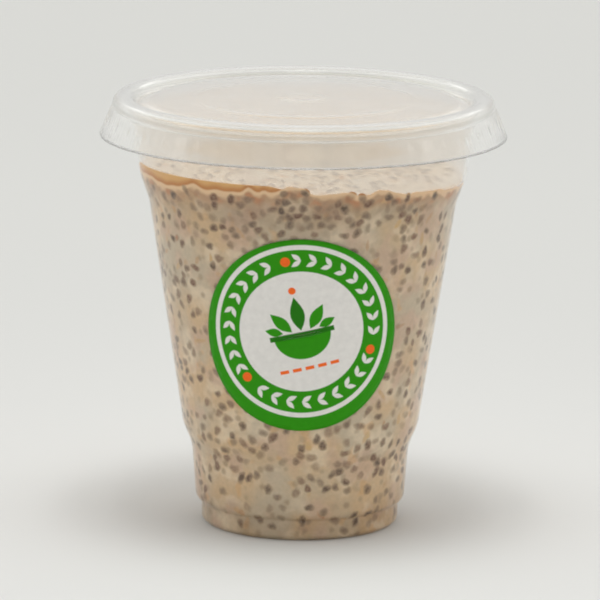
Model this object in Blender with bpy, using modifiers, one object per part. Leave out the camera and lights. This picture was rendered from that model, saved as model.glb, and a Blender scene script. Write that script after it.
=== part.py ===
# Chia pudding in its clear plastic cup, with a flat push-on lid and a round sticker.
#
# The origin is the middle of the cup's base and +Z is up. Sizes below are millimetres, and
# the front of the cup, where the sticker is, faces -Y.
import math
import random

import bmesh
import bpy
from mathutils import Matrix, Vector

MM = 0.001
STEPS = 56                   # flats round the cup and the lid
WELD = 0.00001               # metres: joins a turned shape's seam and its pole
SEED_OF_RANDOM = 7

# Cup: outer surface, from the foot up
CUP_WALL = 0.5
BASE_HOLLOW_R, BASE_HOLLOW_Z = 21.5, 1.8      # the middle of the base stands clear of the table
REST_INNER_R, REST_OUTER_R = 22.6, 24.1       # the flat ring that the cup rests on
FOOT_R, FOOT_CORNER_Z, FOOT_TOP_Z = 25.1, 1.0, 5.6
BAND_LOW_R, BAND_LOW_Z = 26.75, 7.9           # stacking band above the foot
BAND_TOP_R, BAND_TOP_Z = 27.6, 18.9
SHOULDER_R, SHOULDER_Z = 28.0, 20.9           # the wall leans out from here
TAPER_LOW_R, TAPER_LOW_Z = 30.0, 25.5         # the long cone that carries the sticker
TAPER_TOP_R, TAPER_TOP_Z = 38.5, 80.3
LEDGE_R, LEDGE_Z = 38.95, 83.2                # and again from here to the neck
NECK_LOW_R, NECK_LOW_Z = 41.2, 89.6
NECK_TOP_R, NECK_TOP_Z = 43.9, 107.2
BEAD_R = 1.5                                  # inside radius of the rolled rim
BEAD_END_DEG = -50.0

# Lid: upper surface, from the middle out
LID_WALL = 0.4
DISC_R, DISC_Z = 27.6, 109.35                 # raised disc in the middle
PANEL_IN_R, PANEL_R, PANEL_Z = 28.3, 38.8, 108.8
GROOVE_IN_R, GROOVE_OUT_R, GROOVE_Z = 41.4, 42.4, 107.4
GROOVE_WALL_R, GROOVE_WALL_Z = 43.2, 109.3
CREST_R, LID_TOP_Z = 45.2, 110.0
SHOULDER_IN_R, SHOULDER_IN_Z = 47.3, 109.6
LID_R, LID_CORNER_Z, LID_SIDE_Z = 48.25, 108.5, 106.9
SKIRT_TOP_R, SKIRT_TOP_Z = 48.9, 106.4
SKIRT_R, SKIRT_Z = 51.5, 99.9

# Pudding
CORE_STEPS = 36
CORE_INSET = 1.3             # from the cup's outer surface, which leaves room for the seeds
CORE_FLOOR_Z = 2.8
CORE_FLOOR_R = 22.1
CORE_RING_IN_R, CORE_RING_OUT_R, CORE_RING_Z = 23.0, 23.5, 1.1
LEVEL = 92.3                 # mean height of the pudding's edge
LEVEL_MIN = 91.0
LUMP = 0.75                  # how far the top rises and dips
TILT = 1.1                   # the left side stands this much above the mean, the right below
TOP_RINGS = (0.9, 0.72, 0.54, 0.36, 0.18)
CHIA = (2.3, 1.8, 1.5)       # one soaked seed: length, width and thickness
SIDE_SEEDS, TOP_SEEDS = 62, 18
SEED_SINK = 0.3              # a seed's middle lies this far under the pudding's surface
SEED_SPACING = 3.0

# Sticker
LABEL_R = 25.4
LABEL_Z = 55.0               # height of its middle
LABEL_LIFT, LABEL_THICK = 0.35, 0.3
LABEL_RINGS, LABEL_STEPS = 4, 40


def quarter_curve(start, end, count):
    """Points of a quarter ellipse that leaves start sideways and reaches end upright."""
    points = []
    for i in range(count + 1):
        angle = math.radians(90.0 * i / count)
        radius = start[0] + (end[0] - start[0]) * math.sin(angle)
        height = end[1] + (start[1] - end[1]) * math.cos(angle)
        points.append((radius, height))
    return points


def cup_profile():
    """Outer surface of the cup as (radius, height), from the base's middle up to the bead."""
    points = [(0.0, BASE_HOLLOW_Z), (BASE_HOLLOW_R, BASE_HOLLOW_Z)]
    points += [(REST_INNER_R, 0.0), (REST_OUTER_R, 0.0), (FOOT_R, FOOT_CORNER_Z)]
    points += quarter_curve((FOOT_R, FOOT_TOP_Z), (BAND_LOW_R, BAND_LOW_Z), 3)
    points += [(BAND_TOP_R, BAND_TOP_Z), (SHOULDER_R, SHOULDER_Z)]
    points += [(TAPER_LOW_R, TAPER_LOW_Z), (TAPER_TOP_R, TAPER_TOP_Z)]
    points += [(LEDGE_R, LEDGE_Z), (NECK_LOW_R, NECK_LOW_Z)]
    for i in range(6):
        angle = math.radians(180.0 + (BEAD_END_DEG - 180.0) * i / 5)
        radius = NECK_TOP_R + BEAD_R * (1.0 + math.cos(angle))
        points.append((radius, NECK_TOP_Z + BEAD_R * math.sin(angle)))
    return points


def lid_profile():
    """Upper surface of the lid as (radius, height), from its middle out to the skirt's hem."""
    return [
        (0.0, DISC_Z), (DISC_R, DISC_Z),
        (PANEL_IN_R, PANEL_Z), (PANEL_R, PANEL_Z),
        (GROOVE_IN_R, GROOVE_Z), (GROOVE_OUT_R, GROOVE_Z), (GROOVE_WALL_R, GROOVE_WALL_Z),
        (CREST_R, LID_TOP_Z), (SHOULDER_IN_R, SHOULDER_IN_Z),
        (LID_R, LID_CORNER_Z), (LID_R, LID_SIDE_Z),
        (SKIRT_TOP_R, SKIRT_TOP_Z), (SKIRT_R, SKIRT_Z),
    ]


def cup_radius(height):
    """Outer radius of the cup's wall at a height between its foot and its neck."""
    wall = [point for point in cup_profile() if FOOT_CORNER_Z <= point[1] <= NECK_TOP_Z]
    wall = [point for point in wall if FOOT_R <= point[0] <= NECK_TOP_R]
    for (low_r, low_z), (high_r, high_z) in zip(wall, wall[1:]):
        if low_z <= height <= high_z:
            return low_r + (high_r - low_r) * (height - low_z) / (high_z - low_z)
    return FOOT_R


def top_height(x, y):
    """Height of the pudding's uneven top over a point, in millimetres."""
    lumps = math.sin(0.19 * x + 0.7) * math.cos(0.23 * y - 0.4)
    ripples = math.sin(0.41 * x - 0.33 * y + 1.9)
    tilt = -TILT * x / NECK_LOW_R
    return max(LEVEL_MIN, LEVEL + LUMP * (0.7 * lumps + 0.5 * ripples) + tilt)


def clear_scene():
    for old in list(bpy.data.objects):
        bpy.data.objects.remove(old, do_unlink=True)


def principled(name, color, roughness, transmission=0.0):
    material = bpy.data.materials.new(name)
    material.use_nodes = True
    shader = material.node_tree.nodes["Principled BSDF"]
    shader.inputs["Base Color"].default_value = (*color, 1.0)
    shader.inputs["Roughness"].default_value = roughness
    shader.inputs["Metallic"].default_value = 0.0
    shader.inputs["Transmission Weight"].default_value = transmission
    return material


def turned(name, points, steps, collection):
    """Surface turned about Z from points that run down its outer side."""
    mesh = bpy.data.meshes.new(name)
    edges = [(i, i + 1) for i in range(len(points) - 1)]
    mesh.from_pydata([(radius * MM, 0.0, height * MM) for radius, height in points], edges, [])
    piece = bpy.data.objects.new(name, mesh)
    collection.objects.link(piece)
    screw = piece.modifiers.new("Turn", "SCREW")
    screw.axis = "Z"
    screw.angle = 2.0 * math.pi
    screw.steps = steps
    screw.render_steps = steps
    screw.use_merge_vertices = True
    screw.merge_threshold = WELD
    return piece


def shell(piece, thickness):
    """Thickness for a surface, laid inwards from the side that is drawn."""
    solidify = piece.modifiers.new("Wall", "SOLIDIFY")
    solidify.thickness = thickness * MM
    solidify.offset = -1.0
    solidify.use_even_offset = True


def evaluated_copy(piece):
    """The piece's mesh with its modifiers applied."""
    depsgraph = bpy.context.evaluated_depsgraph_get()
    return bpy.data.meshes.new_from_object(piece.evaluated_get(depsgraph))


def freeze(piece):
    """Replaces a piece's mesh by its evaluated one and drops its modifiers."""
    frozen = evaluated_copy(piece)
    piece.modifiers.clear()
    piece.data = frozen


def smooth(piece, sharp_deg):
    mesh = piece.data
    mesh.shade_smooth()
    mesh.set_sharp_from_angle(angle=math.radians(sharp_deg))


def make_cup(collection, plastic):
    cup = turned("cup", list(reversed(cup_profile())), STEPS, collection)
    shell(cup, CUP_WALL)
    freeze(cup)
    smooth(cup, 35.0)
    cup.data.materials.append(plastic)


def make_lid(collection, plastic):
    lid = turned("lid", lid_profile(), STEPS, collection)
    shell(lid, LID_WALL)
    freeze(lid)
    smooth(lid, 35.0)
    lid.data.materials.append(plastic)


def core_profile():
    """Outline of the pudding without its seeds, from the top's middle down to the floor."""
    edge_r = cup_radius(LEVEL) - CORE_INSET
    points = [(0.0, LEVEL)]
    points += [(edge_r * share, LEVEL) for share in reversed(TOP_RINGS)]
    points += [(edge_r, LEVEL)]
    side = [point for point in cup_profile() if BAND_LOW_Z <= point[1] <= NECK_LOW_Z]
    points += [(radius - CORE_INSET, height) for radius, height in reversed(side)]
    points += [(FOOT_R - CORE_INSET, FOOT_TOP_Z), (FOOT_R - CORE_INSET, CORE_FLOOR_Z)]
    points += [(CORE_RING_OUT_R, CORE_RING_Z), (CORE_RING_IN_R, CORE_RING_Z)]
    points += [(CORE_FLOOR_R, CORE_FLOOR_Z), (0.0, CORE_FLOOR_Z)]
    return points


def shape_top(core):
    """Moves the pudding's flat top to its uneven heights, with the edge kept off the wall."""
    edge_r = cup_radius(LEVEL) - CORE_INSET
    for vertex in core.data.vertices:
        if vertex.co.z < (LEVEL - 0.1) * MM:
            continue
        height = top_height(vertex.co.x / MM, vertex.co.y / MM)
        share = (cup_radius(height) - CORE_INSET) / edge_r
        vertex.co = Vector((vertex.co.x * share, vertex.co.y * share, height * MM))


def on_side(angle, height):
    """Place and outward direction for a seed in the pudding's side."""
    radius = cup_radius(height) - CORE_INSET - SEED_SINK
    outward = Vector((math.cos(angle), math.sin(angle), 0.0))
    return outward * radius + Vector((0.0, 0.0, height)), outward


def on_top(angle, share):
    """Place and outward direction for a seed in the pudding's top."""
    radius = share * (cup_radius(LEVEL) - CORE_INSET)
    x, y = radius * math.cos(angle), radius * math.sin(angle)
    return Vector((x, y, top_height(x, y) - SEED_SINK)), Vector((0.0, 0.0, 1.0))


def clear_of_steps(height):
    """True where the cup's wall is straight, so that a seed keeps its room."""
    return any(low <= height <= high for low, high in ((10.0, 17.5), (27.5, 79.0)))


def seed_places(draw):
    """Seeds over the side and the top, spread by the golden angle with a little scatter."""
    golden = math.pi * (3.0 - math.sqrt(5.0))
    places = []
    row = 0
    while len(places) < SIDE_SEEDS:
        height = 9.0 + 72.0 * ((row * 0.7548777) % 1.0) + draw.uniform(-1.0, 1.0)
        place = on_side(golden * row + draw.uniform(-0.05, 0.05), height)
        row += 1
        near = any((place[0] - other[0]).length < SEED_SPACING for other in places)
        if clear_of_steps(height) and not near:
            places.append(place)
    for i in range(TOP_SEEDS):
        places.append(on_top(golden * i, 0.9 * math.sqrt((i + 0.5) / TOP_SEEDS)))
    return places


def make_seed(place, outward, draw, collection):
    """One soaked chia seed, lying flat in the surface and turned at random."""
    mesh = bpy.data.meshes.new("seed")
    ball = bmesh.new()
    bmesh.ops.create_uvsphere(ball, u_segments=5, v_segments=4, radius=0.5 * MM)
    ball.to_mesh(mesh)
    ball.free()
    seed = bpy.data.objects.new("seed", mesh)
    lie = outward.to_track_quat("Z", "Y").to_matrix().to_4x4()
    spin = Matrix.Rotation(draw.uniform(0.0, math.pi), 4, "Z")
    seed.matrix_world = Matrix.Translation(place * MM) @ lie @ spin @ Matrix.Diagonal((*CHIA, 1.0))
    collection.objects.link(seed)
    return seed


def make_pudding(collection, pudding_material):
    """The pudding up to its level, with its largest seeds fused on."""
    core = turned("pudding", core_profile(), CORE_STEPS, collection)
    freeze(core)
    shape_top(core)

    draw = random.Random(SEED_OF_RANDOM)
    seeds = bpy.data.collections.new("seeds")
    bpy.context.scene.collection.children.link(seeds)
    for place, outward in seed_places(draw):
        make_seed(place, outward, draw, seeds)
    union = core.modifiers.new("Seeds", "BOOLEAN")
    union.operation = "UNION"
    union.operand_type = "COLLECTION"
    union.collection = seeds
    union.solver = "EXACT"
    freeze(core)
    for seed in list(seeds.objects):
        bpy.data.objects.remove(seed, do_unlink=True)
    bpy.data.collections.remove(seeds)

    smooth(core, 40.0)
    core.data.materials.clear()
    core.data.materials.append(pudding_material)


def on_cone(across, up):
    """Bends a flat point of the sticker round the cup, a little off its outer surface."""
    slope = (TAPER_TOP_R - TAPER_LOW_R) / (TAPER_TOP_Z - TAPER_LOW_Z)
    height = LABEL_Z + up / math.hypot(1.0, slope)
    radius = TAPER_LOW_R + slope * (height - TAPER_LOW_Z)
    angle = across / radius - math.pi / 2.0
    reach = radius + LABEL_LIFT
    return Vector((reach * math.cos(angle), reach * math.sin(angle), height))


def make_label(collection, paper):
    """Round sticker: a flat disc turned in rings, bent round the cone and thickened."""
    rings = [(LABEL_R * i / LABEL_RINGS, 0.0) for i in range(LABEL_RINGS + 1)]
    label = turned("label", rings, LABEL_STEPS, collection)
    freeze(label)
    for vertex in label.data.vertices:
        vertex.co = on_cone(vertex.co.x / MM, vertex.co.y / MM) * MM
    solidify = label.modifiers.new("Paper", "SOLIDIFY")
    solidify.thickness = LABEL_THICK * MM
    solidify.offset = 1.0
    freeze(label)
    smooth(label, 35.0)
    label.data.materials.append(paper)


def main():
    clear_scene()
    collection = bpy.data.collections.new("chia_pudding_cup")
    bpy.context.scene.collection.children.link(collection)
    plastic = principled("clear_plastic", (0.95, 0.95, 0.94), 0.08, transmission=1.0)
    pudding = principled("pudding", (0.55, 0.43, 0.31), 0.45)
    paper = principled("sticker", (0.10, 0.36, 0.06), 0.35)
    make_cup(collection, plastic)
    make_lid(collection, plastic)
    make_pudding(collection, pudding)
    make_label(collection, paper)


main()
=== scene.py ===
# Looks of the chia pudding in its clear lidded cup: plastic, pudding, seeds, sticker and light.
#
# Sizes are millimetres unless a name says otherwise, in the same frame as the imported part:
# the origin is the middle of the cup's base, +Z is up and the sticker faces -Y.
import math

import bpy
import numpy as np
from mathutils import Matrix, Vector
from mathutils.geometry import delaunay_2d_cdt


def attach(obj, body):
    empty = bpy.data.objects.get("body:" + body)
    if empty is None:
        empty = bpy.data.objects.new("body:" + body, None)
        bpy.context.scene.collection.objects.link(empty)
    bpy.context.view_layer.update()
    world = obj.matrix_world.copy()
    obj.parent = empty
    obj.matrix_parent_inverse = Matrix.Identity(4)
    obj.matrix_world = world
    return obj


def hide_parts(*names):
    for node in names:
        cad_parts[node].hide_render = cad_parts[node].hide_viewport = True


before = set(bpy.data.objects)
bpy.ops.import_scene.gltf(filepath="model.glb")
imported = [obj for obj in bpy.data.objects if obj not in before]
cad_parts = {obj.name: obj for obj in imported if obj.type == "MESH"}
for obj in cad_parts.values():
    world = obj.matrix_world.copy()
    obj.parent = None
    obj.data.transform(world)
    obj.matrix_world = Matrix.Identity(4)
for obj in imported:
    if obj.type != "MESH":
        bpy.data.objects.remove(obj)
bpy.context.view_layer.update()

MM = 0.001
TINY = 0.001
TURN = 2.0 * math.pi
CORNER_SHARE = 0.4
SHARPEST = 0.4               # least cosine used, so that an offset line stays near a sharp corner

# Cup: outer surface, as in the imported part
CUP_WALL = 0.5
CUP_STEPS = 256
FOOT_CORNER, WALL_CORNER = 0.6, 1.6          # reach of the rounding at the outline's corners
FOOT_CURVE_STEPS = 8
BAND_START = 0.2             # the band's straight part starts this far over the foot's curve
BASE_HOLLOW_R, BASE_HOLLOW_Z = 21.5, 1.8
REST_INNER_R, REST_OUTER_R = 22.6, 24.1
FOOT_R, FOOT_CORNER_Z, FOOT_TOP_Z = 25.1, 1.0, 5.6
BAND_LOW_R, BAND_LOW_Z = 26.75, 7.9
BAND_TOP_R, BAND_TOP_Z = 27.6, 18.9
SHOULDER_R, SHOULDER_Z = 28.0, 20.9
TAPER_LOW_R, TAPER_LOW_Z = 30.0, 25.5
TAPER_TOP_R, TAPER_TOP_Z = 38.5, 80.3
LEDGE_R, LEDGE_Z = 38.95, 83.2
NECK_LOW_R, NECK_LOW_Z = 41.2, 89.6
NECK_TOP_R, NECK_TOP_Z = 43.9, 107.2
BEAD_R = 1.5
BEAD_GAP_R, BEAD_GAP_Z = 0.03, 0.2           # the neck's line ends this far in and down from the bead
BEAD_END_DEG, BEAD_STEPS = -50.0, 16

# Lid: upper surface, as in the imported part, with a low button in its middle
LID_WALL = 0.4
LID_STEPS = 800
LID_CORNER, LID_CORNER_STEPS = 1.2, 3
BUTTON_R, BUTTON_FOOT_R, BUTTON_RISE = 5.0, 6.4, 0.35
DISC_R, DISC_Z = 27.2, 109.2
PANEL_IN_R, PANEL_R, PANEL_Z = 28.8, 38.8, 108.8
GROOVE_IN_R, GROOVE_OUT_R, GROOVE_Z = 41.4, 42.4, 107.4
GROOVE_WALL_R, GROOVE_WALL_Z = 43.2, 109.3
CREST_R, LID_TOP_Z = 45.2, 110.0
SHOULDER_IN_R, SHOULDER_IN_Z = 47.3, 109.6
LID_R, LID_CORNER_Z, LID_SIDE_Z = 48.25, 108.5, 106.9
SKIRT_TOP_R, SKIRT_TOP_Z = 48.9, 106.4
SKIRT_R, SKIRT_Z = 51.5, 99.9
SKIRT_ROWS = (0.8, 0.7, 0.6, 0.5, 0.4, 0.25, 0.1)     # rows on the skirt, as shares of its height
HEM_SHARE, HEM_TAPER = 0.2, 2.5              # at the hem, over this height, the sheet thins to this share
RIBS, RIB_RISE, RIB_IN_R, RIB_OUT_R, RIB_FADE = 200, 0.035, 38.4, 41.6, 0.5
TEETH, TEETH_RISE, TEETH_IN_R = 200, 0.008, 48.0
LUGS, LUG_DEPTH, LUG_Z, LUG_HEIGHT = 38, 0.30, 103.6, 1.1

# Pudding
PUDDING_STEPS = 360
PUDDING_INSET = 0.42         # from the cup's outer surface: 0.08 mm into its 0.5 mm wall
TOP_LEVEL = 91.6             # mean height of the top away from the wall
TOP_LUMP, TOP_TILT = 0.75, 0.7               # height of its lumps, and its fall to the right wall
FOOT_ROWS_Z = 4.0            # below it the pudding's rows follow the foot's outline
WALL_ROWS = ((4.2, 30.0, 60), (31.0, 86.0, 56))       # even rows up the wall: from, to, number
EDGE_FROM_Z, EDGE_ROWS = 86.0, (0.04, 1.0, 40)        # rows that bend up to the wavy edge
MENISCUS = (0.3, 0.6, 1.0, 1.6, 2.4, 3.4)    # rows in from the wall, where the top runs up to it
MENISCUS_REACH = 1.1
TOP_ROWS = (0.97, 0.03, 46)  # rows inside the meniscus, as shares of its radius
DEEP, INSIDE = -90.0, 12.0   # height above the edge that stands for the foot and for the top
ON_RIM, INWARD_RISE = 2.0, 3.0               # the same on the meniscus: at the rim, and for each mm in


def new_object(name, mesh, *materials):
    piece = bpy.data.objects.new(name, mesh)
    bpy.context.scene.collection.objects.link(piece)
    for material in materials:
        mesh.materials.append(material)
    return piece


def mesh_from(name, points, faces):
    """Mesh from points in millimetres, smooth shaded."""
    mesh = bpy.data.meshes.new(name)
    mesh.from_pydata((np.asarray(points) * MM).tolist(), [], faces)
    mesh.shade_smooth()
    return mesh


def add_attribute(mesh, name, values):
    attribute = mesh.attributes.new(name, "FLOAT", "POINT")
    attribute.data.foreach_set("value", np.asarray(values, dtype=np.float32))


def around(steps):
    """Angles of even steps once round."""
    return np.arange(steps) * TURN / steps


def strip_faces(rows, steps):
    """Quads between rows of points that each go once round."""
    index = np.arange(rows * steps).reshape(rows, steps)
    after = np.roll(index, -1, axis=1)
    quads = np.stack([index[:-1], after[:-1], after[1:], index[1:]], axis=-1)
    return quads.reshape(-1, 4).tolist()


def turned_mesh(name, radius, height, start_pole=None, end_pole=None):
    """Turned mesh from arrays of radius and height, one row a ring and one column a step.

    The rings run from the middle of the underside, outwards and up, so that faces look out.
    """
    rows, steps = radius.shape
    angle = around(steps)[None, :]
    points = np.stack([radius * np.cos(angle), radius * np.sin(angle), height], axis=-1)
    points = points.reshape(-1, 3)
    faces = strip_faces(rows, steps)
    for pole, row, flip in ((start_pole, 0, True), (end_pole, rows - 1, False)):
        if pole is None:
            continue
        middle = len(points)
        points = np.vstack([points, [[0.0, 0.0, pole]]])
        for i in range(steps):
            a, b = row * steps + i, row * steps + (i + 1) % steps
            faces.append((middle, b, a) if flip else (middle, a, b))
    return mesh_from(name, points, faces)


def quarter_curve(start, end, count):
    """Points of a quarter ellipse that leaves start sideways and reaches end upright."""
    points = []
    for i in range(count + 1):
        angle = math.radians(90.0 * i / count)
        radius = start[0] + (end[0] - start[0]) * math.sin(angle)
        height = end[1] + (start[1] - end[1]) * math.cos(angle)
        points.append((radius, height))
    return points


def rounded(points, reach, count=4):
    """The line with a short curve in place of each corner, from reach before it to reach after.

    A curve takes at most CORNER_SHARE of the side that it starts or ends on.
    """
    smooth = [points[0]]
    for before, corner, after in zip(points, points[1:], points[2:]):
        corner = Vector(corner)
        back, ahead = Vector(before) - corner, Vector(after) - corner
        start = corner + back.normalized() * min(reach, CORNER_SHARE * back.length)
        end = corner + ahead.normalized() * min(reach, CORNER_SHARE * ahead.length)
        for i in range(count + 1):
            share = i / count
            first, second = start.lerp(corner, share), corner.lerp(end, share)
            smooth.append(tuple(first.lerp(second, share)))
    smooth.append(points[-1])
    return smooth


def offset(points, distance):
    """The line moved sideways, to the right of its direction."""
    line = np.array(points)
    step = np.diff(line, axis=0)
    side = np.stack([step[:, 1], -step[:, 0]], axis=1)
    side /= np.linalg.norm(side, axis=1)[:, None]
    before = np.vstack([side[:1], side])
    after = np.vstack([side, side[-1:]])
    middle = before + after
    middle /= np.linalg.norm(middle, axis=1)[:, None]
    stretch = distance / np.maximum(SHARPEST, (middle * before).sum(axis=1))
    moved = line + middle * stretch[:, None]
    moved[:, 0] = np.where(line[:, 0] == 0.0, 0.0, moved[:, 0])
    return moved


def cup_profile():
    """Outer surface of the cup as (radius, height), from the base's middle up to the bead."""
    foot = [(0.0, BASE_HOLLOW_Z), (BASE_HOLLOW_R, BASE_HOLLOW_Z)]
    foot += [(REST_INNER_R, 0.0), (REST_OUTER_R, 0.0), (FOOT_R, FOOT_CORNER_Z)]
    foot += [(FOOT_R, FOOT_TOP_Z - FOOT_CORNER)]
    points = rounded(foot, FOOT_CORNER)
    points += quarter_curve((FOOT_R, FOOT_TOP_Z), (BAND_LOW_R, BAND_LOW_Z), FOOT_CURVE_STEPS)
    wall = [(BAND_LOW_R, BAND_LOW_Z + BAND_START), (BAND_TOP_R, BAND_TOP_Z), (SHOULDER_R, SHOULDER_Z)]
    wall += [(TAPER_LOW_R, TAPER_LOW_Z), (TAPER_TOP_R, TAPER_TOP_Z)]
    wall += [(LEDGE_R, LEDGE_Z), (NECK_LOW_R, NECK_LOW_Z)]
    wall += [(NECK_TOP_R - BEAD_GAP_R, NECK_TOP_Z - BEAD_GAP_Z)]
    points += rounded(wall, WALL_CORNER)
    for i in range(BEAD_STEPS + 1):
        angle = math.radians(180.0 + (BEAD_END_DEG - 180.0) * i / BEAD_STEPS)
        radius = NECK_TOP_R + BEAD_R * (1.0 + math.cos(angle))
        points.append((radius, NECK_TOP_Z + BEAD_R * math.sin(angle)))
    return points


def side_radius(height, inset):
    """Radius of a surface that lies inset under the cup's outer wall, above the foot's corner."""
    wall = np.array([p for p in cup_profile() if p[0] >= FOOT_R - TINY and p[1] >= FOOT_CORNER_Z])
    wall = wall[:np.argmax(wall[:, 1] >= NECK_TOP_Z) + 1]
    return np.interp(height, wall[:, 1], wall[:, 0]) - inset


def lid_profile():
    """Upper surface of the lid as (radius, height), from its middle out to the skirt's hem."""
    return rounded([
        (0.0, DISC_Z + BUTTON_RISE), (BUTTON_R, DISC_Z + BUTTON_RISE), (BUTTON_FOOT_R, DISC_Z),
        (DISC_R, DISC_Z), (PANEL_IN_R, PANEL_Z), (PANEL_R, PANEL_Z),
        (GROOVE_IN_R, GROOVE_Z), (GROOVE_OUT_R, GROOVE_Z), (GROOVE_WALL_R, GROOVE_WALL_Z),
        (CREST_R, LID_TOP_Z), (SHOULDER_IN_R, SHOULDER_IN_Z),
        (LID_R, LID_CORNER_Z), (LID_R, LID_SIDE_Z),
        (SKIRT_TOP_R, SKIRT_TOP_Z), (SKIRT_R, SKIRT_Z),
    ], LID_CORNER, LID_CORNER_STEPS)


# Height of the pudding's edge on the wall: a slope, and bumps as (degrees, rise, half width)
EDGE_LEFT, EDGE_RIGHT = 91.5, 89.1
EDGE_BUMPS = (
    (-146.0, -0.9, 6.0), (-131.0, 1.1, 2.6), (-109.0, 1.1, 1.8), (-103.5, 0.8, 1.4),
    (-94.0, 1.9, 4.0), (-90.0, 1.2, 1.8), (-90.0, 1.5, 30.0), (-76.0, 1.1, 4.5),
    (-63.5, 0.9, 1.8), (-60.0, 1.6, 6.0), (-42.0, 1.0, 13.0), (60.0, 1.4, 6.0),
    (95.0, -1.2, 9.0), (128.0, 0.9, 5.0), (150.0, -0.8, 6.0),
)
# Small waves of the edge as (rise, times round, shift)
EDGE_RIPPLES = ((0.12, 29.0, 0.0), (0.10, 53.0, 1.0))
# The film's orange is partly caramel and partly painted shade under the lid
# Thin caramel film on the wall above the edge: height, middle and half width in degrees,
# the share of the half width that is level, and the fall beyond it
FILM_Z, FILM_MIDDLE, FILM_HALF, FILM_FLAT, FILM_FALL = 93.8, -135.0, 42.0, 0.8, 7.5
# Darker pudding, partly seeds and juice and partly painted shade under the lid and at the foot: a band
# under the edge, full in front and low behind, and the foot
MURK_SHADE_FRONT, MURK_SHADE_HALF = -86.0, 24.0
MURK_SHADE_BAND_Z, MURK_SHADE_BAND_HALF, MURK_SHADE_BAND_LOW = 87.0, 4.5, 0.40
MURK_SHADE_FOOT_Z, MURK_SHADE_FOOT_HALF, MURK_SHADE_FOOT = 3.0, 7.0, 0.55
MURK_SHADE_UNDER = 0.5             # painted shade in the middle under the foot


def angle_off(angle, degrees):
    """Difference of angles in degrees, between -180 and 180."""
    return (np.degrees(angle) - degrees + 180.0) % 360.0 - 180.0


def edge_height(angle):
    """Height of the wavy edge of the pudding on the wall, in the direction of an angle."""
    toward_right = 0.5 + 0.5 * np.cos(angle)
    height = EDGE_LEFT + (EDGE_RIGHT - EDGE_LEFT) * toward_right
    for degrees, rise, half_width in EDGE_BUMPS:
        height = height + rise * np.exp(-(angle_off(angle, degrees) / half_width) ** 2)
    for rise, times, shift in EDGE_RIPPLES:
        height = height + rise * np.sin(times * angle + shift)
    return height


def murk_and_shade(angle, height):
    """How dark the pudding looks, from 0 to 1: partly seeds and juice behind its skin, partly painted
    shade under the lid and at the foot.
    """
    toward_front = np.exp(-(angle_off(angle, MURK_SHADE_FRONT) / MURK_SHADE_HALF) ** 2)
    band = MURK_SHADE_BAND_LOW + (1.0 - MURK_SHADE_BAND_LOW) * toward_front
    band = band * np.exp(-((height - MURK_SHADE_BAND_Z) / MURK_SHADE_BAND_HALF) ** 2)
    foot = MURK_SHADE_FOOT * np.exp(-((height - MURK_SHADE_FOOT_Z) / MURK_SHADE_FOOT_HALF) ** 2)
    return np.clip(band + foot, 0.0, 1.0)


def film_height(angle):
    """Top of the thin caramel film that stands above the edge on the left side."""
    off = angle_off(angle, FILM_MIDDLE) / FILM_HALF
    return FILM_Z - FILM_FALL * np.clip(np.abs(off) - FILM_FLAT, 0.0, None)


def rim_height(angle):
    """Highest pudding or film on the wall."""
    return np.maximum(edge_height(angle), film_height(angle))


def top_height(x, y):
    """Height of the pudding's uneven top away from the wall, as waves from broad to small."""
    lumps = np.sin(0.19 * x + 0.7) * np.cos(0.23 * y - 0.4)
    ripples = np.sin(0.41 * x - 0.33 * y + 1.9)
    small = np.sin(1.1 * x + 0.5 * y) * np.sin(0.9 * y - 0.4 * x)
    waves = 0.7 * lumps + 0.5 * ripples + 0.2 * small
    return TOP_LEVEL - TOP_TILT * x / NECK_LOW_R + TOP_LUMP * waves


def feed(tree, node, inputs):
    """Links each input that is given as a socket, and sets any other one."""
    for name, value in inputs.items():
        if isinstance(value, bpy.types.NodeSocket):
            tree.links.new(value, node.inputs[name])
        else:
            node.inputs[name].default_value = value


def add(tree, kind, inputs=None, **settings):
    """A new node with its settings and inputs."""
    node = tree.nodes.new(kind)
    for name, value in settings.items():
        setattr(node, name, value)
    feed(tree, node, inputs or {})
    return node


def linear(red, green, blue):
    """Scene-linear colour from 0 to 255 values."""
    parts = []
    for value in (red, green, blue):
        share = value / 255.0
        parts.append(share / 12.92 if share <= 0.04045 else ((share + 0.055) / 1.055) ** 2.4)
    return (*parts, 1.0)


def object_place(tree):
    """Place on the object, in metres."""
    return add(tree, "ShaderNodeTexCoord").outputs["Object"]


def shifted(tree, place, shift):
    """The place moved, for a noise that differs from the one there."""
    return add(tree, "ShaderNodeVectorMath", {0: place, 1: shift}).outputs[0]


def attribute(tree, name):
    """Value that the mesh stores under a name."""
    return add(tree, "ShaderNodeAttribute", attribute_name=name).outputs["Fac"]


def noise(tree, place, scale, detail=2.0, roughness=0.5):
    return add(tree, "ShaderNodeTexNoise", {
        "Vector": place, "Scale": scale, "Detail": detail, "Roughness": roughness,
    }).outputs["Fac"]


def ramp(tree, value, low, high, start=0.0, end=1.0, curve="SMOOTHSTEP"):
    """Step of a value from start to end between low and high."""
    return add(tree, "ShaderNodeMapRange", {
        "Value": value, "From Min": low, "From Max": high, "To Min": start, "To Max": end,
    }, interpolation_type=curve).outputs["Result"]


def math_node(tree, operation, first, second):
    """Result of a sum on two inputs, each a socket or a value."""
    return add(tree, "ShaderNodeMath", {0: first, 1: second}, operation=operation).outputs[0]


def times(tree, first, second):
    return math_node(tree, "MULTIPLY", first, second)


# Numbers of a mix node's sockets for colours
MIX_SHARE, MIX_FIRST, MIX_SECOND, MIX_RESULT = 0, 6, 7, 2


def mix_colors(tree, share, first, second, blend="MIX"):
    """Mix of two colours by a share. Each of the three is a socket or a value."""
    inputs = {MIX_SHARE: share, MIX_FIRST: first, MIX_SECOND: second}
    node = add(tree, "ShaderNodeMix", inputs, data_type="RGBA", blend_type=blend)
    return node.outputs[MIX_RESULT]


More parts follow.
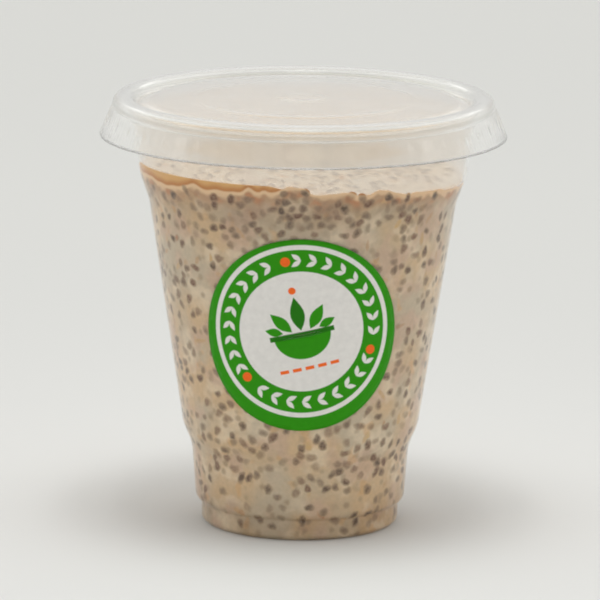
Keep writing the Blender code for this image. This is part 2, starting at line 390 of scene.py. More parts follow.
def bumps(tree, height, strength, distance):
    """Normal of a bumpy surface, the bumps' distance in metres."""
    return add(tree, "ShaderNodeBump", {
        "Height": height, "Strength": strength, "Distance": distance,
    }).outputs["Normal"]


def new_material(name):
    """Material with its node tree, shader and output."""
    material = bpy.data.materials.new(name)
    material.use_nodes = True
    tree = material.node_tree
    return material, tree, tree.nodes["Principled BSDF"], tree.nodes["Material Output"]


# A ray that has bounced more often than this is caught in a sheet, and keeps this share
CAUGHT_BOUNCES, CAUGHT_SHARE = 8.0, 0.6
# Facing weight where a sheet counts as met squarely, and where as met at a full slant
SQUARE, SLANTED = 0.35, 0.85
FACING_SHARE = 0.99          # light that the plastic lets through squarely
CUP_TINT, LID_TINT = (0.998, 0.998, 0.995, 1.0), (0.978, 0.976, 0.958, 1.0)


def let_lamps_through(tree, shader, output, facing_share, edge_share):
    """Lamps, diffuse bounces and rays caught inside the sheet go straight on through it.

    They keep the facing share where they meet the sheet squarely and the edge share at a slant.
    """
    path = add(tree, "ShaderNodeLightPath").outputs
    straight = math_node(tree, "MAXIMUM", path["Is Shadow Ray"], path["Is Diffuse Ray"])
    caught = math_node(tree, "GREATER_THAN", path["Ray Depth"], CAUGHT_BOUNCES)
    straight = math_node(tree, "MAXIMUM", straight, caught)
    slant = add(tree, "ShaderNodeLayerWeight", {"Blend": 0.5}).outputs["Facing"]
    kept = ramp(tree, slant, SQUARE, SLANTED, facing_share, edge_share)
    kept = math_node(tree, "MAXIMUM", kept, times(tree, caught, CAUGHT_SHARE))
    clear = add(tree, "ShaderNodeBsdfTransparent", {"Color": kept})
    mixed = add(tree, "ShaderNodeMixShader", {0: straight, 1: shader.outputs[0], 2: clear.outputs[0]})
    feed(tree, output, {"Surface": mixed.outputs[0]})


def clear_plastic(name, color, roughness, ripple, edge_share):
    """Clear thin plastic with the faint unevenness of a drawn sheet."""
    material, tree, shader, output = new_material(name)
    waves = noise(tree, object_place(tree), 90.0, 1.0)
    feed(tree, shader, {
        "Base Color": color, "Roughness": roughness, "IOR": 1.5, "Transmission Weight": 1.0,
        "Normal": bumps(tree, waves, ripple, 0.001),
    })
    let_lamps_through(tree, shader, output, FACING_SHARE, edge_share)
    return material


# Colours of the cream, its edge, the film, the top, the seeds, the oats and the mist
PALE = linear(236, 215, 184)
GREY_BEIGE = linear(204, 186, 158)
TAN = linear(216, 184, 142)
PINK = linear(208, 174, 148)
RUST = linear(218, 170, 112)
# Orange of the film: caramel, and painted shade under the lid
SHADED_CARAMEL_LOW = linear(202, 134, 70)
SHADED_CARAMEL_HIGH = linear(232, 180, 112)
PEACH = linear(240, 202, 158)
EDGE_TAN = linear(190, 148, 110)
EDGE_RUST = linear(196, 134, 88)
MURK_AND_SHADE = (0.56, 0.455, 0.365, 1.0)     # seed murk and painted shade, multiplied with what it darkens
MISTY_TOP = linear(214, 193, 165)
SEED_GREY = linear(102, 80, 60)
SEED_BROWN = linear(116, 74, 52)
SEED_PALE = linear(160, 132, 104)
SEED_HALO = linear(164, 138, 108)
SEED_WOBBLE = 0.7            # unevenness of a seed's colours, as a share of its reach
OAT_TAN = linear(214, 178, 118)
OAT_RUST = linear(178, 124, 84)
MIST = linear(250, 242, 232)
# Shifts of place, for noises that differ
SHIFT_A, SHIFT_B, SHIFT_C = (0.3, 0.7, 0.2), (0.9, 0.1, 0.5), (0.2, 0.4, 0.8)


def patchy_cream(tree, place):
    """Cream in broad patches, with pale, pink and rusty ones over them."""
    broad = noise(tree, place, 65.0, 2.0, 0.55)
    color = mix_colors(tree, ramp(tree, broad, 0.36, 0.64), GREY_BEIGE, TAN)
    pale = noise(tree, shifted(tree, place, SHIFT_A), 140.0, 2.0, 0.55)
    color = mix_colors(tree, ramp(tree, pale, 0.48, 0.66, 0.0, 0.7), color, PALE)
    pink = noise(tree, shifted(tree, place, SHIFT_B), 110.0)
    color = mix_colors(tree, ramp(tree, pink, 0.48, 0.66, 0.0, 0.65), color, PINK)
    rust = noise(tree, shifted(tree, place, SHIFT_C), 210.0, 1.0)
    return mix_colors(tree, ramp(tree, rust, 0.62, 0.74, 0.0, 0.5), color, RUST)


def with_deep_seeds(tree, place, color):
    """The colour with soft dark spots, for seeds that lie deep in the cream."""
    deep = add(tree, "ShaderNodeTexVoronoi", {"Vector": place, "Scale": 330.0})
    near = ramp(tree, deep.outputs["Distance"], 0.42, 0.12)
    chance = add(tree, "ShaderNodeSeparateColor", {"Color": deep.outputs["Color"]}).outputs["Red"]
    shown = ramp(tree, chance, 0.30, 0.8, 0.0, 0.7)
    return mix_colors(tree, times(tree, near, shown), color, SEED_HALO)


def with_edge(tree, place, above, color):
    """The colour turned tan, rusty and peach towards the edge, and caramel with painted shade under the
    lid in the film above it.
    """
    wander = math_node(tree, "SUBTRACT", noise(tree, shifted(tree, place, SHIFT_C), 330.0, 1.0), 0.5)
    near_edge = math_node(tree, "ADD", above, times(tree, wander, 3.0))
    color = mix_colors(tree, ramp(tree, near_edge, -5.5, -1.0, 0.0, 0.75), color, EDGE_TAN)
    lumps = ramp(tree, noise(tree, shifted(tree, place, SHIFT_A), 260.0, 1.0), 0.50, 0.62)
    zone = ramp(tree, above, -4.0, -1.6, 0.0, 0.8)
    color = mix_colors(tree, times(tree, lumps, zone), color, EDGE_RUST)
    color = mix_colors(tree, ramp(tree, near_edge, -1.7, -0.5, 0.0, 0.85), color, PEACH)
    color = mix_colors(tree, ramp(tree, above, -0.8, -0.3, 0.0, 0.9), color, PEACH)
    # Caramel and painted shade under the lid, darker low in the film
    shaded_caramel = mix_colors(tree, ramp(tree, above, 0.5, 2.2), SHADED_CARAMEL_LOW, SHADED_CARAMEL_HIGH)
    return mix_colors(tree, ramp(tree, above, 0.0, 0.5), color, shaded_caramel)


def matrix_group():
    """Colour of the cream between the seeds, for any place on the pudding."""
    tree = bpy.data.node_groups.new("cream_color", "ShaderNodeTree")
    tree.interface.new_socket("Color", in_out="OUTPUT", socket_type="NodeSocketColor")
    place, above = object_place(tree), attribute(tree, "above")
    color = with_deep_seeds(tree, place, patchy_cream(tree, place))
    speckle = ramp(tree, noise(tree, place, 900.0, 3.0, 0.6), 0.3, 0.7, 0.93, 1.06, "LINEAR")
    color = mix_colors(tree, 1.0, color, speckle, "MULTIPLY")
    top = mix_colors(tree, 0.6, color, MISTY_TOP)
    # Painted shade under the lid and at the foot, with seed murk, darkens the cream in patches
    patchy = ramp(tree, noise(tree, shifted(tree, place, SHIFT_B), 90.0), 0.30, 0.62, 0.45, 1.0)
    dark = times(tree, attribute(tree, "murk_and_shade"), patchy)
    color = mix_colors(tree, dark, color, MURK_AND_SHADE, "MULTIPLY")
    color = with_edge(tree, place, above, color)
    color = mix_colors(tree, ramp(tree, above, 2.5, 5.0), color, top)
    add(tree, "NodeGroupOutput", {"Color": color})
    return tree


def cream_material(group):
    """Wet pudding: the cream's colours with small lumps and a soft gloss."""
    material, tree, shader, _ = new_material("pudding_cream")
    lumps = noise(tree, object_place(tree), 520.0, 3.0)
    feed(tree, shader, {
        "Base Color": add(tree, "ShaderNodeGroup", node_tree=group).outputs["Color"],
        "Roughness": 0.38, "Specular IOR Level": 0.25,
        "Normal": bumps(tree, lumps, 0.25, 0.0008),
    })
    return material


def seed_material(group):
    """Soaked seed: a mottled dark core that fades through its gel into the cream around it."""
    material, tree, shader, _ = new_material("chia_seed")
    cream = add(tree, "ShaderNodeGroup", node_tree=group).outputs["Color"]
    reach, fade, tone, dark = (attribute(tree, name) for name in ("reach", "fade", "tone", "murk_and_shade"))
    place = object_place(tree)
    hull = mix_colors(tree, ramp(tree, tone, 0.2, 0.8), SEED_GREY, SEED_BROWN)
    mottle = ramp(tree, noise(tree, place, 1300.0), 0.45, 0.65)
    hull = mix_colors(tree, times(tree, mottle, 0.7), hull, SEED_PALE)
    hollow = times(tree, ramp(tree, reach, 0.40, 0.05), ramp(tree, tone, 0.35, 0.7))
    hull = mix_colors(tree, times(tree, hollow, 0.6), hull, SEED_PALE)
    # Painted shade and seed murk darken the seed's hull too
    hull = mix_colors(tree, times(tree, dark, 0.5), hull, MURK_AND_SHADE, "MULTIPLY")
    wobble = times(tree, noise(tree, place, 800.0, 1.0), SEED_WOBBLE)
    ragged = math_node(tree, "ADD", reach, math_node(tree, "SUBTRACT", wobble, 0.5 * SEED_WOBBLE))
    gel = times(tree, ramp(tree, ragged, 1.0, 0.7), 0.55)
    color = mix_colors(tree, times(tree, gel, fade), cream, SEED_HALO)
    solid = times(tree, ramp(tree, ragged, 0.92, 0.25), fade)
    feed(tree, shader, {
        "Base Color": mix_colors(tree, solid, color, hull),
        "Roughness": 0.35, "Specular IOR Level": 0.25,
    })
    return material


def fleck_material(group):
    """Soaked oat flakes: tan to rust, soft at their edges."""
    material, tree, shader, _ = new_material("oat_fleck")
    cream = add(tree, "ShaderNodeGroup", node_tree=group).outputs["Color"]
    reach, fade, tone = (attribute(tree, name) for name in ("reach", "fade", "tone"))
    grain = ramp(tree, noise(tree, object_place(tree), 1100.0), 0.35, 0.65)
    core = mix_colors(tree, tone, OAT_TAN, OAT_RUST)
    core = mix_colors(tree, times(tree, grain, 0.4), core, PINK)
    solid = times(tree, ramp(tree, reach, 0.95, 0.45), fade)
    feed(tree, shader, {
        "Base Color": mix_colors(tree, solid, cream, core),
        "Roughness": 0.4, "Specular IOR Level": 0.25,
    })
    return material


def mist_material():
    """Fine condensation and smears inside the neck."""
    material, tree, shader, output = new_material("neck_mist")
    smears = noise(tree, object_place(tree), 70.0, 3.0, 0.55)
    feed(tree, shader, {
        "Base Color": MIST, "Roughness": 0.7, "Specular IOR Level": 0.2,
        "Alpha": ramp(tree, smears, 0.3, 0.7, 0.50, 0.64),
    })
    let_lamps_through(tree, shader, output, 1.0, 1.0)
    return material


def print_material(name, color):
    """Printed film: a little unevenness in the ink, and a satin gloss."""
    material, tree, shader, _ = new_material(name)
    place = object_place(tree)
    ink = ramp(tree, noise(tree, place, 700.0, 3.0), 0.3, 0.7, 0.96, 1.04, "LINEAR")
    feed(tree, shader, {
        "Base Color": mix_colors(tree, 1.0, color, ink, "MULTIPLY"),
        "Roughness": 0.42, "Specular IOR Level": 0.15,
        "Normal": bumps(tree, noise(tree, place, 1500.0), 0.08, 0.0002),
    })
    return material


def make_cup(plastic):
    outer = np.array(cup_profile())
    inner = offset(outer, -CUP_WALL)[::-1]
    line = np.vstack([outer[1:], inner[:-1]])
    radius = np.repeat(line[:, :1], CUP_STEPS, axis=1)
    height = np.repeat(line[:, 1:], CUP_STEPS, axis=1)
    mesh = turned_mesh("cup_wall", radius, height, outer[0, 1], inner[-1, 1])
    return new_object("cup_wall", mesh, plastic)


def lid_relief(radius, height, angle):
    """Fine ribs on the groove's slope, teeth on the skirt and lugs that hold the cup's rim."""
    on_slope = np.clip((radius - RIB_IN_R) / RIB_FADE, 0.0, 1.0)
    on_slope = on_slope * np.clip((RIB_OUT_R - radius) / RIB_FADE, 0.0, 1.0)
    height = height + RIB_RISE * on_slope * np.sin(RIBS * angle)
    on_skirt = np.clip(SKIRT_TOP_Z - height, 0.0, 1.0) * (radius > TEETH_IN_R)
    radius = radius + TEETH_RISE * on_skirt * np.sin(TEETH * angle)
    lug = np.clip(np.cos(LUGS * angle), 0.0, 1.0) ** 2
    at_lug = np.exp(-((height - LUG_Z) / LUG_HEIGHT) ** 2)
    return radius - LUG_DEPTH * lug * at_lug * on_skirt, height


def make_lid(plastic):
    upper = np.array(lid_profile())
    skirt = [(SKIRT_R - (SKIRT_R - SKIRT_TOP_R) * share, SKIRT_Z + (SKIRT_TOP_Z - SKIRT_Z) * share)
             for share in SKIRT_ROWS]
    upper = np.vstack([upper[:-1], skirt, upper[-1:]])
    thin = np.interp(upper[:, 1], (SKIRT_Z, SKIRT_Z + HEM_TAPER), (HEM_SHARE, 1.0))
    under = upper + (offset(upper, LID_WALL) - upper) * thin[:, None]
    line = np.vstack([under[1:], upper[::-1][:-1]])
    angle = np.repeat(around(LID_STEPS)[None, :], len(line), axis=0)
    radius = np.repeat(line[:, :1], LID_STEPS, axis=1)
    height = np.repeat(line[:, 1:], LID_STEPS, axis=1)
    radius, height = lid_relief(radius, height, angle)
    mesh = turned_mesh("lid_clear", radius, height, under[0, 1], upper[0, 1])
    return new_object("lid_clear", mesh, plastic)


def pudding_bottom():
    """The pudding's outline in the foot, from the base's middle out to the wall."""
    line = offset(cup_profile(), -PUDDING_INSET)
    return line[line[:, 1] < FOOT_ROWS_Z]


def wall_rows(edge, rim):
    """Rows of (radius, height, height above the edge), from the foot up the wall to the rim."""
    once_round = np.ones(PUDDING_STEPS)
    rows = [(r * once_round, z * once_round, z - edge) for r, z in pudding_bottom()[1:]]
    for z in np.concatenate([np.linspace(*even) for even in WALL_ROWS]):
        rows.append((side_radius(z, PUDDING_INSET) * once_round, z * once_round, z - edge))
    for share in np.linspace(*EDGE_ROWS):
        z = EDGE_FROM_Z + (rim - EDGE_FROM_Z) * share
        rows.append((side_radius(z, PUDDING_INSET), z, z - edge))
    return rows


def top_rows(angle, rim):
    """The same kind of rows from the rim in over the top, down a low meniscus first."""
    once_round = np.ones(PUDDING_STEPS)
    rim_r = side_radius(rim, PUDDING_INSET)
    rows = []
    for inward in MENISCUS:
        r = rim_r - inward
        share = math.exp(-(inward / MENISCUS_REACH))
        level = top_height(r * np.cos(angle), r * np.sin(angle))
        height = level * (1.0 - share) + rim * share
        rows.append((r, height, (ON_RIM + INWARD_RISE * inward) * once_round))
    for share in np.linspace(*TOP_ROWS):
        r = (rim_r - MENISCUS[-1]) * share
        rows.append((r, top_height(r * np.cos(angle), r * np.sin(angle)), INSIDE * once_round))
    return rows


def make_pudding(cream):
    """Pudding up to its wavy edge on the wall, with a low meniscus and an uneven top."""
    angle = around(PUDDING_STEPS)
    edge, rim = edge_height(angle), rim_height(angle)
    rows = wall_rows(edge, rim) + top_rows(angle, rim)
    radius, height, above = (np.array(part) for part in zip(*rows))
    low, high = pudding_bottom()[0, 1], float(top_height(0.0, 0.0))
    mesh = turned_mesh("pudding_body", radius, height, low, high)
    add_attribute(mesh, "above", np.concatenate([above.ravel(), [DEEP, INSIDE]]))
    # Seed murk and painted shade on the wall below the edge, none above it
    dark = np.where(above > 0.0, 0.0, murk_and_shade(angle[None, :], height))
    add_attribute(mesh, "murk_and_shade", np.concatenate([dark.ravel(), [MURK_SHADE_UNDER, 0.0]]))
    return new_object("pudding_body", mesh, cream)


# Seeds and flecks: low domes of rings and sides, sunk a little into the pudding
SEED_RINGS = (0.0, 0.35, 0.62, 0.82, 1.0)
SEED_SIDES = 14
DOME_SINK = 0.03
SEED_WAVES = ((0.13, 2.0, 9.0), (0.07, 3.0, 5.0))     # uneven outline: share, times round, shift
# Where they lie: some in clusters, some crowded in the dark band in front, the rest anywhere
PER_CLUSTER, CLUSTER_SPREAD, CLUSTER_TOP_Z = 12, 3.2, 90.0
BAND_SPREAD = 3.5
SCATTER_TOP_Z = 93.0
MEAN_SIDE_R, WIDEST_R, TOP_R = 33.0, 41.0, 37.0
TRIES = 40                   # for each one that is wanted
SPACING_SHARES = (0.75, 1.3)


def patch_grid():
    """Flat round patch as points in a unit disc, with its faces, for one seed or fleck."""
    points = [(0.0, 0.0)]
    for reach in SEED_RINGS[1:]:
        points += circle(0.0, 0.0, reach, SEED_SIDES)
    faces = [(0, 1 + i, 1 + (i + 1) % SEED_SIDES) for i in range(SEED_SIDES)]
    for ring in range(len(SEED_RINGS) - 2):
        first = 1 + ring * SEED_SIDES
        for i in range(SEED_SIDES):
            after = (i + 1) % SEED_SIDES
            faces.append((first + i, first + SEED_SIDES + i, first + SEED_SIDES + after, first + after))
    return np.array(points), faces


def dome(disc, half, turn, rise):
    """One uneven low dome: how far its points lie sideways, upwards and out of the surface."""
    reach = np.hypot(disc[:, 0], disc[:, 1])
    way = np.arctan2(disc[:, 1], disc[:, 0])
    wave = np.ones(len(way))
    for share, times_round, shift in SEED_WAVES:
        wave = wave + share * np.sin(times_round * way + shift * turn)
    across, along = disc[:, 0] * half[0] * wave, disc[:, 1] * half[1] * wave
    sideways = across * math.cos(turn) - along * math.sin(turn)
    upwards = across * math.sin(turn) + along * math.cos(turn)
    lift = rise * np.sqrt(np.clip(1.0 - reach ** 2, 0.0, 1.0)) - DOME_SINK
    return sideways, upwards, lift


def lay_on_side(place, sideways, upwards, lift):
    """Points of a dome at (angle, height) on the side, their height above the edge and their murk and
    painted shade.
    """
    z = place[1] + upwards
    radius = side_radius(z, PUDDING_INSET) + lift
    angle = place[0] + sideways / side_radius(place[1], PUDDING_INSET)
    points = np.stack([radius * np.cos(angle), radius * np.sin(angle), z], axis=1)
    return points, z - edge_height(angle), murk_and_shade(angle, z)


def lay_on_top(place, sideways, upwards, lift):
    """The same for a dome at (x, y) on the top, which is all inside the edge and has no murk or painted
    shade.
    """
    x, y = place[0] + sideways, place[1] + upwards
    points = np.stack([x, y, top_height(x, y) + lift], axis=1)
    return points, np.full(len(x), INSIDE), np.zeros(len(x))


def scatter_mesh(name, lay, places, half_sizes, turns, rises, tones, fades):
    """One mesh of many low domes that lay puts on the pudding, with what their colours need."""
    disc, disc_faces = patch_grid()
    laid, faces = [], []
    for place, half, turn, rise in zip(places, half_sizes, turns, rises):
        first = len(disc) * len(laid)
        laid.append(lay(place, *dome(disc, half, turn, rise)))
        faces += [tuple(first + corner for corner in face) for face in disc_faces]
    points, above, dark = (np.concatenate(part) for part in zip(*laid))
    mesh = mesh_from(name, points, faces)
    add_attribute(mesh, "reach", np.tile(np.hypot(disc[:, 0], disc[:, 1]), len(laid)))
    add_attribute(mesh, "tone", np.repeat(tones, len(disc)))
    add_attribute(mesh, "fade", np.repeat(fades, len(disc)))
    add_attribute(mesh, "above", above)
    add_attribute(mesh, "murk_and_shade", dark)
    return mesh


def pick_on_side(draw, clusters, low, clustered, crowded):
    """One random (angle, height) on the side."""
    if draw.random() < clustered:
        angle, z = clusters[draw.integers(len(clusters))]
        angle = angle + draw.normal(0.0, CLUSTER_SPREAD) / MEAN_SIDE_R
        return angle, z + draw.normal(0.0, CLUSTER_SPREAD)
    if draw.random() < crowded:
        angle = math.radians(draw.normal(MURK_SHADE_FRONT, MURK_SHADE_HALF))
        return angle, draw.normal(MURK_SHADE_BAND_Z, BAND_SPREAD)
    angle = draw.uniform(0.0, TURN)
    return angle, draw.uniform(low, SCATTER_TOP_Z)


def spread_on_side(draw, count, spacing, low, below_edge, clustered, crowded):
    """Places on the pudding's side as (angle, height), about spacing apart."""
    clusters = [(draw.uniform(0.0, TURN), draw.uniform(low, CLUSTER_TOP_Z))
                for _ in range(count // PER_CLUSTER)]
    chosen, taken = [], np.zeros((0, 3))
    for _ in range(TRIES * count):
        if len(chosen) == count:
            break
        angle, z = pick_on_side(draw, clusters, low, clustered, crowded)
        if z < low or z > float(edge_height(np.array(angle))) - below_edge:
            continue
        radius = float(side_radius(z, PUDDING_INSET))
        if draw.random() > radius / WIDEST_R:
            continue
        point = np.array([[radius * math.cos(angle), radius * math.sin(angle), z]])
        if chosen:
            nearest = np.min(np.linalg.norm(taken - point, axis=1))
            if nearest < spacing * draw.uniform(*SPACING_SHARES):
                continue
        taken = np.vstack([taken, point])
        chosen.append((angle % TURN, z))
    return chosen


def spread_on_top(draw, count, spacing):
    """Places on the pudding's top as (x, y), at least spacing apart."""
    chosen = []
    for _ in range(TRIES * count):
        if len(chosen) == count:
            break
        angle, radius = draw.uniform(0.0, TURN), TOP_R * math.sqrt(draw.random())
        x, y = radius * math.cos(angle), radius * math.sin(angle)
        if all(math.hypot(x - a, y - b) > spacing for a, b in chosen):
            chosen.append((x, y))
    return chosen


def join_meshes(name, *meshes):
    """Joins meshes that have the same attributes into the first of them."""
    pieces = [new_object(name, mesh) for mesh in meshes]
    with bpy.context.temp_override(active_object=pieces[0], selected_editable_objects=pieces):
        bpy.ops.object.join()
    return pieces[0]


def draw_half_sizes(draw, count, long_range, short_range):
    """Random half lengths and half widths."""
    return np.stack([draw.uniform(*long_range, count), draw.uniform(*short_range, count)], axis=1)


def make_seeds(material):
    draw = np.random.default_rng(5)
    side = spread_on_side(draw, 1200, spacing=2.0, low=1.6, below_edge=0.7, clustered=0.50, crowded=0.20)
    count = len(side)
    half = draw_half_sizes(draw, count, (1.2, 1.95), (1.15, 1.65))
    fades = np.clip(draw.normal(0.66, 0.30, count), 0.12, 1.0)
    on_side = scatter_mesh(
        "chia_side", lay_on_side, side, half, turns=draw.uniform(0.0, math.pi, count),
        rises=np.full(count, 0.14), tones=draw.uniform(0.0, 0.8, count), fades=fades)
    top = spread_on_top(draw, 300, spacing=1.98)
    count = len(top)
    half = draw_half_sizes(draw, count, (1.2, 1.5), (0.95, 1.15))
    on_top = scatter_mesh(
        "chia_top", lay_on_top, top, half, turns=draw.uniform(0.0, math.pi, count),
        rises=draw.uniform(0.3, 0.6, count), tones=draw.uniform(0.0, 0.8, count),
        fades=draw.uniform(0.5, 1.0, count))
    seeds = join_meshes("chia_seeds", on_side, on_top)
    seeds.data.materials.append(material)
    return seeds


def make_flecks(material):
    draw = np.random.default_rng(9)
    side = spread_on_side(draw, 130, spacing=4.0, low=3.0, below_edge=1.5, clustered=0.2, crowded=0.0)
    count = len(side)
    half = draw_half_sizes(draw, count, (1.6, 2.8), (0.7, 1.2))
    on_side = scatter_mesh(
        "oats_side", lay_on_side, side, half, turns=draw.normal(1.3, 0.6, count),
        rises=np.full(count, 0.08), tones=draw.uniform(0.0, 1.0, count),
        fades=draw.uniform(0.35, 0.9, count))
    top = spread_on_top(draw, 40, spacing=5.4)
    count = len(top)
    half = draw_half_sizes(draw, count, (1.8, 3.0), (0.9, 1.4))
    on_top = scatter_mesh(
        "oats_top", lay_on_top, top, half, turns=draw.uniform(0.0, math.pi, count),
        rises=np.full(count, 0.25), tones=draw.uniform(0.0, 1.0, count),
        fades=draw.uniform(0.4, 0.9, count))
    flecks = join_meshes("oat_flecks", on_side, on_top)
    flecks.data.materials.append(material)
    return flecks


MIST_STEPS, MIST_ROWS = 256, 24
MIST_TOP_Z, MIST_LIFT, MIST_GAP = 106.6, 0.05, 0.06   # lift off the pudding, gap to the wall


def make_mist(material):
    """Misted lining of the neck, from the pudding's rim up to the bead."""
    low = rim_height(around(MIST_STEPS)) + MIST_LIFT
    shares = np.linspace(0.0, 1.0, MIST_ROWS)
    height = low[None, :] + (MIST_TOP_Z - low[None, :]) * shares[:, None]
    radius = side_radius(height, CUP_WALL + MIST_GAP)
    mesh = turned_mesh("neck_mist", radius, height)
    return new_object("neck_mist", mesh, material)


# Sticker: shapes on its flat print, in millimetres from its middle
LABEL_R = 25.4
LABEL_Z = 55.0
LABEL_LIFT, LABEL_THICK = 0.16, 0.1
LABEL_GRID, LABEL_MARGIN = 1.3, 0.6
CUT_INSIDE, CUT_TOLERANCE = 1, 1e-4          # the cut keeps what lies inside the shapes
PRINT_UP = 1.1
PRINT_TURN = math.radians(13.0)
RING_OUT_R, RING_IN_R, WHITE_R = 22.9, 21.65, 15.9
GREEN, WHITE, ORANGE, DEEP_GREEN = range(4)
# Garland: pairs of leaves a third, their length, width and lean, and the dots
LEAF_PAIRS, LEAF_LENGTH, LEAF_WIDTH, LEAF_LEAN, DOT_R = 9, 2.9, 1.25, 0.62, 1.25
# A leaf is broader near its start: share of its width there, and what that loses to its point
LEAF_START, LEAF_LOSS = 1.15, 0.3
# Bowl, its rim as (x, y, width, height), the berry over it and the dashes under it
BOWL_HALF, BOWL_DEPTH, BOWL_Y = 7.2, 6.4, -0.9
BOWL_RIM = (0.0, -0.8, 16.4, 1.3)
BERRY_Y, BERRY_R = 11.0, 0.95
DASHES, DASH_X, DASH_STEP, DASH_Y, DASH_SIZE = 5, -6.4, 3.2, -9.8, (2.2, 0.9)
LEAVES_Y = 0.3
# Leaves over the bowl: place across, length, width, turn in degrees and ink
LEAVES = (
    (0.0, 9.0, 3.6, 90.0, DEEP_GREEN), (-2.3, 7.2, 3.0, 128.0, GREEN), (2.3, 7.2, 3.0, 52.0, GREEN),
    (-4.6, 4.6, 2.2, 160.0, GREEN), (4.6, 4.6, 2.2, 20.0, GREEN),
)


def circle(x, y, radius, count):
    """Round outline of count points."""
    return [(x + radius * math.cos(TURN * i / count), y + radius * math.sin(TURN * i / count))
            for i in range(count)]


def leaf(x, y, length, width, turn, count=7):
    """Pointed leaf that starts at a point and runs along its turn."""
    outline = []
    for side in (-1.0, 1.0):
        for i in range(count):
            share = i / count if side < 0.0 else 1.0 - i / count
            across = side * 0.5 * width * math.sin(math.pi * share) * (LEAF_START - LEAF_LOSS * share)
            outline.append((share * length, across))
    cosine, sine = math.cos(turn), math.sin(turn)
    return [(x + a * cosine - b * sine, y + a * sine + b * cosine) for a, b in outline]


def bar(x, y, width, height):
    """Upright rectangle round a middle."""
    corners = [(-0.5, -0.5), (0.5, -0.5), (0.5, 0.5), (-0.5, 0.5)]
    return [(x + a * width, y + b * height) for a, b in corners]


def garland():
    """Pairs of white leaves along the green band, with an orange dot at each third."""
    shapes = []
    middle = 0.5 * (RING_IN_R + WHITE_R)
    for third in range(3):
        start = TURN * third / 3.0 + math.pi / 2.0
        shapes.append((circle(middle * math.cos(start), middle * math.sin(start), DOT_R, 20), ORANGE))
        for i in range(1, LEAF_PAIRS + 1):
            angle = start + TURN / 3.0 * i / (LEAF_PAIRS + 1)
            x, y = middle * math.cos(angle), middle * math.sin(angle)
            along = angle + math.pi / 2.0
            for lean in (LEAF_LEAN, -LEAF_LEAN):
                shapes.append((leaf(x, y, LEAF_LENGTH, LEAF_WIDTH, along + lean), WHITE))
    return shapes


def bowl_of_leaves():
    """Green bowl with leaves and a berry, over a row of orange dashes."""
    half_turn = [math.pi + math.pi * i / 24 for i in range(25)]
    bowl = [(BOWL_HALF * math.cos(way), BOWL_Y + BOWL_DEPTH * math.sin(way)) for way in half_turn]
    shapes = [(bowl, GREEN), (bar(*BOWL_RIM), DEEP_GREEN)]
    for x, length, width, turn, ink in LEAVES:
        shapes.append((leaf(x, LEAVES_Y, length, width, math.radians(turn)), ink))
    shapes.append((circle(0.0, BERRY_Y, BERRY_R, 16), ORANGE))
    for i in range(DASHES):
        shapes.append((bar(DASH_X + DASH_STEP * i, DASH_Y, *DASH_SIZE), ORANGE))
    return shapes


def print_shapes():
    """All shapes from the lowest to the highest, turned and moved to their place on the sticker."""
    shapes = [(circle(0.0, 0.0, RING_OUT_R, 96), WHITE), (circle(0.0, 0.0, RING_IN_R, 96), GREEN),
              (circle(0.0, 0.0, WHITE_R, 80), WHITE)]
    shapes += garland() + bowl_of_leaves()
    placed = [(circle(0.0, 0.0, LABEL_R, 120), GREEN)]
    cosine, sine = math.cos(PRINT_TURN), math.sin(PRINT_TURN)
    for outline, ink in shapes:
        moved = [(x * cosine - y * sine, x * sine + y * cosine + PRINT_UP) for x, y in outline]
        placed.append((moved, ink))
    return placed


def on_cone(across, up):
    """Bends a flat point of the sticker round the cup, just off its outer surface."""
    slope = (TAPER_TOP_R - TAPER_LOW_R) / (TAPER_TOP_Z - TAPER_LOW_Z)
    height = LABEL_Z + up / math.hypot(1.0, slope)
    radius = TAPER_LOW_R + slope * (height - TAPER_LOW_Z)
    angle = across / radius - math.pi / 2.0
    reach = radius + LABEL_LIFT
    return reach * math.cos(angle), reach * math.sin(angle), height


def make_label():
    """Round sticker whose faces are cut along the printed shapes, one material for each ink."""
    shapes = print_shapes()
    points, loops = [], []
    for outline, _ in shapes:
        loops.append(list(range(len(points), len(points) + len(outline))))
        points += [Vector(point) for point in outline]
    count = int(LABEL_R / LABEL_GRID)
    for i in range(-count, count + 1):
        for j in range(-count, count + 1):
            if math.hypot(i, j) * LABEL_GRID < LABEL_R - LABEL_MARGIN:
                points.append(Vector((i * LABEL_GRID, j * LABEL_GRID)))
    cut, _, faces, _, _, owners = delaunay_2d_cdt(points, [], loops, CUT_INSIDE, CUT_TOLERANCE)
    mesh = mesh_from("label_print", [on_cone(*point) for point in cut], faces)
    mesh.polygons.foreach_set("material_index", [shapes[max(owner)][1] for owner in owners])
    inks = [
        print_material("print_green", linear(48, 151, 3)),
        print_material("print_white", linear(240, 237, 232)),
        print_material("print_orange", linear(255, 112, 38)),
        print_material("print_deep_green", linear(36, 122, 10)),
    ]
    label = new_object("label_print", mesh, *inks)
    paper = label.modifiers.new("Paper", "SOLIDIFY")
    paper.thickness = LABEL_THICK * MM
    paper.offset = -1.0
    return label


# Floor, in metres, and its colour in front of the cup and far behind it, lighter far behind as painted
# light against the soft box's falloff
FLOOR_HALF = 4.0
FLOOR_NEAR, FLOOR_FAR = (0.70, 0.70, 0.685, 1.0), (0.838, 0.838, 0.812, 1.0)
FLOOR_NEAR_Y, FLOOR_FAR_Y = -0.1, 0.5


